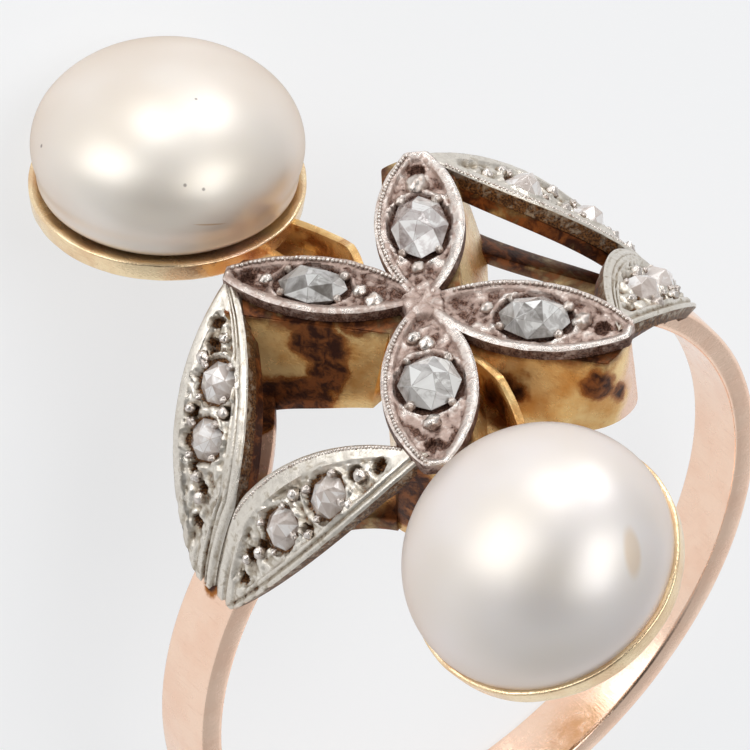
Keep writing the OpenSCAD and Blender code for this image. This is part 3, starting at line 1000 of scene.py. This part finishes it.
work = Work()
for petal in PETALS:
    line = []
    for x in np.linspace(PETAL_START + 0.5, petal["end"] - 0.12, 60):
        y = petal["shift"] + petal["beads"] * (petal_half(petal, x) - 0.13)
        line.append(on_petal(x, y, -0.005, petal))
    bead_row(work, line, pitch=0.118, radius=0.058, shade=0.12)
for number, reach in ((1, (-3.2, 1.2)), (2, (-3.2, 1.0))):
    line = [on_leaf(u, leaf_edges(u)[0] + 0.14, -0.005, LEAF_SIDES[number])
            for u in np.linspace(*reach, 60)]
    bead_row(work, line, pitch=0.1, radius=0.05, shade=0.1)
make_piece("beaded_borders", work, bead_silver, ["silver_top"], sharp=80)

# %% Grains around the stones
LEAF_GRAINS = [(0, -1.14, 0.02), (0, -0.58, 0.56), (0.5, 0, -0.52),
               (0.5, 0, 0.62), (1, 0.96, 0.16), (1, 1.5, 0.06)]
work = Work()
for i, petal in enumerate(PETALS):
    for k, (x, y, r) in enumerate(petal["grains"]):
        ball(work, on_petal(x, y, -0.12, petal), (r * 0.95, r * 0.8, r * 0.7), ROUND_BALL, 0.1,
             wobble=0.32, seed=i + k)
    a, b = petal["size"][0] / 2, petal["size"][1] / 2
    for turned in (38, 142, 218, 322):
        c, s = circle_at(turned)
        x, y = petal["at"] + (a + 0.03) * c, petal["shift"] + (b + 0.03) * s
        r = random.uniform(0.09, 0.15)
        ball(work, on_petal(x, y, -0.08, petal), (r, r, 0.13), ROUND_BALL, 0.25,
             wobble=0.4, seed=turned)
for number, side in enumerate(LEAF_SIDES):
    first, second = (np.array(s) for s in LEAF_STONES[number])
    for k, (share, along, across) in enumerate(LEAF_GRAINS):
        u, y = leaf_place(*(first * (1 - share) + second * share + (along, across)))
        r = random.uniform(0.12, 0.19)
        ball(work, on_leaf(u, y, -0.07, side), (r, r, r), ROUND_BALL, 0.0,
             wobble=0.4, seed=number + k)
    for stone in (first, second):
        for turned in (45, 135, 225, 315):
            c, s = circle_at(turned)
            u, y = leaf_place(*(stone + 0.6 * np.array((c, s))))
            r = random.uniform(0.07, 0.12)
            ball(work, on_leaf(u, y, -0.02, side), (r, r, r), ROUND_BALL, 0.1,
                 wobble=0.6, seed=turned)
make_piece("setting_grains", work, bead_silver, ["silver_top"], sharp=80)

# %% [markdown]
# ## Button pearls
#
# A button pearl is a flattened ball that grew in layers. It is never quite round, and its
# soft gloss comes from thin layers over a milky body. The body colour drifts a little from
# cream to beige. The far pearl has a fine scratch and four dark dots, and the near one a tan
# crescent near its girdle. Each mark has two ends, half a width, a strength and a colour.

# %% The lustre of pearl
DOT_R, PEARL_ROWS, PEARL_TURNS = 0.06, 90, 150


def pearl_finish(side, light, deep, marks, dots=()):
    f = Finish(f"{side}_pearl_lustre")
    cloud = f.grain(2.6, detail=1)
    layer = f.grain(1.1, detail=1, stretch=(1, 1, 2.0))
    body = f.between(f.step(cloud, 0.25, 0.75), light, deep)
    body = f.between(f.times(layer, 0.2), body, deep)
    for start, end, width, share, colour in marks:
        mark = f.mark(start, end, PEARLS[side]["seat"].translation, width)
        body = f.between(f.times(mark, share), body, colour)
    for at in dots:
        body = f.between(f.spot(at, DOT_R, 0.04), body, (0.36, 0.31, 0.28))
    return f.done(
        Base_Color=body, Metallic=0.5, Roughness=f.level(layer, 0.37, 0.44),
        Normal=f.bump(layer, 0.02, 0.1), Coat_Weight=0.12, Coat_Roughness=0.25, Coat_IOR=1.45,
        Subsurface_Weight=0.15, Subsurface_Radius=Vector((0.9 * MM, 0.7 * MM, 0.5 * MM)),
        Specular_Tint=(0.90, 0.80, 0.70), Thin_Film_Thickness=380, Thin_Film_IOR=1.36)


def pearl_piece(side, finish):
    pearl = PEARLS[side]
    work = Work()
    rows = []
    for tilt in np.linspace(0.004, math.pi - 0.004, PEARL_ROWS):
        row = []
        for turned in full_turn(PEARL_TURNS):
            x, y, z = on_ball(tilt, turned)
            r = pearl["half"] * (1 - 0.006 * abs(rub(x, y, z, 0.9, 4)) - 0.001)
            full = 1 + pearl["full"] * ridge(z, -0.48, 0.13)
            row.append(pearl["seat"] @ Vector((x * r * full, y * r * full, z * r * pearl["flat"])))
        rows.append(row)
    work.skin(rows, 0.0)
    make_piece(f"{side}_button_pearl", work, finish, [f"{side}_pearl"], sharp=180)


FAR_DOTS = [(-4.74, 9.75, 12.54), (-2.94, 5.88, 12.77), (-2.59, 5.59, 12.59),
            (-1.22, 7.58, 13.43)]
SCRATCH = ((-3.25, 5.43, 11.88), (-2.31, 5.08, 11.51), 0.03, 1.0, (0.66, 0.50, 0.34))
CRESCENT = ((-2.15, -11.3, 13.8), (-2.85, -12.35, 12.9), 0.3, 0.5, (0.74, 0.54, 0.34))
pearl_piece("far", pearl_finish("far", (0.86, 0.80, 0.73), (0.78, 0.70, 0.61), [SCRATCH],
                                FAR_DOTS))
pearl_piece("near", pearl_finish("near", (0.86, 0.81, 0.79), (0.79, 0.72, 0.65), [CRESCENT]))

# %% [markdown]
# ## Rose-cut stones
#
# A rose cut has a flat back and a low dome of facets, here with a small table. These are old
# and cut by hand, so the facets differ in size and the stones are clear, cloudy or pinkish.
# Each facet gets its own share of painted light as an attribute, standing in for the light
# that a foil behind a real stone sends back through some facets and not through others.

# %% Cut and set the stones
CUT = [(0.0, 0.8, 8, 0), (0.32, 1.0, 8, 0), (0.76, 0.64, 5, 18), (1.0, 0.25, 3, 50)]
EDGE_WEAR, SLIVER = 0.008, 0.04


def stone_finish(name, bright, middle, dim, clear):
    f = Finish(name)
    facet_light = f.stored("facet_light")
    veil = f.grain(0.55, detail=3, rough=0.6, warp=1.5)
    # Painted light: the facet's share and the veil noise pick a dim, middle or bright colour,
    # painted reflections and glints.
    facet_light_and_veil = f.plus(f.times(facet_light, 0.56), f.times(veil, 1.02))
    shade = f.between(f.step(facet_light_and_veil, 0.4, 0.8), dim, middle)
    return f.done(Base_Color=f.between(f.step(facet_light_and_veil, 0.82, 0.98), shade, bright),
                  Roughness=f.level(veil, 0.04, 0.2), Normal=f.bump(veil, 0.05, 0.4),
                  IOR=1.8, Coat_Weight=0.6, Coat_Roughness=0.03, Transmission_Weight=clear)


def cut_stone(node, length, width, height, carry, finish, seed):
    """A rose cut as the hull of its rows of corners, each corner a little off."""
    chance = random.Random(seed)
    cut = bmesh.new()
    for level, radius, corners, first in CUT:
        for k in range(corners):
            a = math.radians(first + 360 * k / corners)
            slip = 0.08 if radius < 0.9 and level > 0.1 else 0.0
            r = radius + chance.uniform(-slip, slip)
            cut.verts.new(carry(r * math.cos(a) * length / 2, r * math.sin(a) * width / 2,
                                (level - chance.uniform(0, slip)) * height))
    bmesh.ops.convex_hull(cut, input=cut.verts)
    bmesh.ops.dissolve_limit(cut, angle_limit=math.radians(2), verts=cut.verts, edges=cut.edges)
    bmesh.ops.bevel(cut, geom=list(cut.edges), offset=EDGE_WEAR * MM, segments=1, affect="EDGES")
    bmesh.ops.recalc_face_normals(cut, faces=cut.faces)
    mesh = bpy.data.meshes.new(node + "_cut")
    cut.to_mesh(mesh)
    cut.free()
    facet_light = mesh.attributes.new("facet_light", "FLOAT", "FACE")
    biggest = max(p.area for p in mesh.polygons)
    # Each large facet gets a random share of painted light; slivers stay at a middle share.
    facet_light.data.foreach_set("value", [
        chance.uniform(0.0, 1.0) if p.area > biggest * SLIVER else 0.3 for p in mesh.polygons])
    mesh.materials.append(finish)
    piece = show(node + "_cut", mesh)
    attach(piece, "root")
    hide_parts(node)
    return len(mesh.polygons)


clear_stone = stone_finish("clear_stone", (1.0, 0.99, 0.97), (0.66, 0.60, 0.58),
                           (0.22, 0.15, 0.13), 0.3)
cloudy_stone = stone_finish("cloudy_stone", (0.97, 0.97, 0.95), (0.56, 0.54, 0.52),
                            (0.22, 0.20, 0.18), 0.25)
pinkish_stone = stone_finish("pinkish_stone", (0.98, 0.95, 0.93), (0.74, 0.66, 0.61),
                             (0.50, 0.41, 0.36), 0.15)
CROWN = 0.42
STONE_KINDS = [clear_stone, cloudy_stone, cloudy_stone, cloudy_stone]
facets = 0
for i, petal in enumerate(PETALS):
    sunk = PETAL_T - 0.01

    def carry(x, y, z):
        wx, wy = spun(petal["at"] + x, petal["shift"] + y, petal["turn"])
        return to_table @ Vector((wx, wy, PETAL_Z - sunk + z))

    facets += cut_stone(f"petal_stone_{i + 1}", *petal["size"], sunk + CROWN, carry,
                        STONE_KINDS[i], 40 + i)
for number, side in enumerate(LEAF_SIDES):
    for k, (along, across) in enumerate(LEAF_STONES[number]):
        sunk = SILVER_T - 0.01
        middle = leaf_place(along, across)
        tilt = math.radians(LEAF_SLOPE) + math.asin(middle[0] / DOME_R)

        def carry(x, y, z):
            out = DOME_R - sunk + z
            return to_table @ Vector((
                side[0] * (out * math.sin(tilt) + x * math.cos(tilt)), side[1] * (middle[1] + y),
                DOME_Z + out * math.cos(tilt) - x * math.sin(tilt)))

        facets += cut_stone(f"leaf_stone_{2 * number + k + 1}", LEAF_STONE_D, LEAF_STONE_D,
                            sunk + CROWN * (0.4 if side[0] < 0 else 0.7), carry,
                            pinkish_stone, 60 + 2 * number + k)
print("facets cut:", facets)

# %% [markdown]
# ## Table and light
#
# The photograph has a plain, nearly white ground and light from large soft windows: one on
# each side of the camera, and two high behind the ring. Polished metal and pearl mostly
# show their surroundings, so the windows' places matter more than their power. The
# photographer shows too, as a dark patch of the room around the camera.

# %% A pale table
floor_work = bmesh.new()
bmesh.ops.create_grid(floor_work, x_segments=24, y_segments=24, size=1.2)
floor_mesh = bpy.data.meshes.new("pale_table")
floor_work.to_mesh(floor_mesh)
floor_work.free()
table = show("pale_table", floor_mesh)
paper = Finish("matte_paper")
table.data.materials.append(paper.done(
    Base_Color=paper.between(paper.grain(40), (0.30, 0.303, 0.309), (0.315, 0.318, 0.324)),
    Roughness=0.85, Normal=paper.bump(paper.grain(0.6), 0.01, 0.05),
    Emission_Color=(0.98, 0.99, 1.0), Emission_Strength=0.645))
print("table at", table.location[:])

# %% Soft windows
RING_AT = to_table @ Vector((0, 0, 6))
WINDOW_AWAY, LOWEST = 0.5, 0.12


def window(name, right, up, back, width, height, power):
    """A soft window, placed by its direction as the camera sees it."""
    way = turn @ (CAMERA_RIGHT * right + CAMERA_UP * up + CAMERA_BACK * back).normalized()
    if way.z < LOWEST:
        way = Vector((way.x, way.y, LOWEST)).normalized()
    light = show(name, bpy.data.lights.new(name, "AREA"))
    light.data.shape, light.data.size, light.data.size_y = "RECTANGLE", width, height
    light.data.energy = power
    light.location = RING_AT + way * WINDOW_AWAY
    light.rotation_euler = way.to_track_quat("Z", "Y").to_euler()


for row in (("left_window", -0.64, 0.42, 0.63, 0.30, 0.36, 0.9),
            ("right_window", 0.49, 0.17, 0.83, 0.26, 0.36, 0.8),
            ("high_left_window", -0.23, 0.97, 0.12, 0.12, 0.22, 0.42),
            ("high_right_window", 0.31, 0.94, 0.17, 0.12, 0.22, 0.42)):
    window(*row)
PATCH_EDGE, PATCH_MIDDLE = 50, 14
world = bpy.data.worlds.new("pale_room")
bpy.context.scene.world = world
room = Nodes(world)
sky = world.node_tree.nodes["Background"]
sky.inputs["Strength"].default_value = 0.54
way = room.add("TexCoord").outputs["Generated"]
to_camera = room.add("VectorMath", {0: way, 1: (turn @ CAMERA_BACK).normalized()},
                     operation="DOT_PRODUCT").outputs["Value"]
shadow = room.step(to_camera, circle_at(PATCH_EDGE)[0], circle_at(PATCH_MIDDLE)[0])
room.wire(room.between(shadow, (0.985, 0.99, 1.0), (0.10, 0.095, 0.09)), sky.inputs["Color"])
bpy.context.scene.view_settings.view_transform = "Standard"
print("lights set")
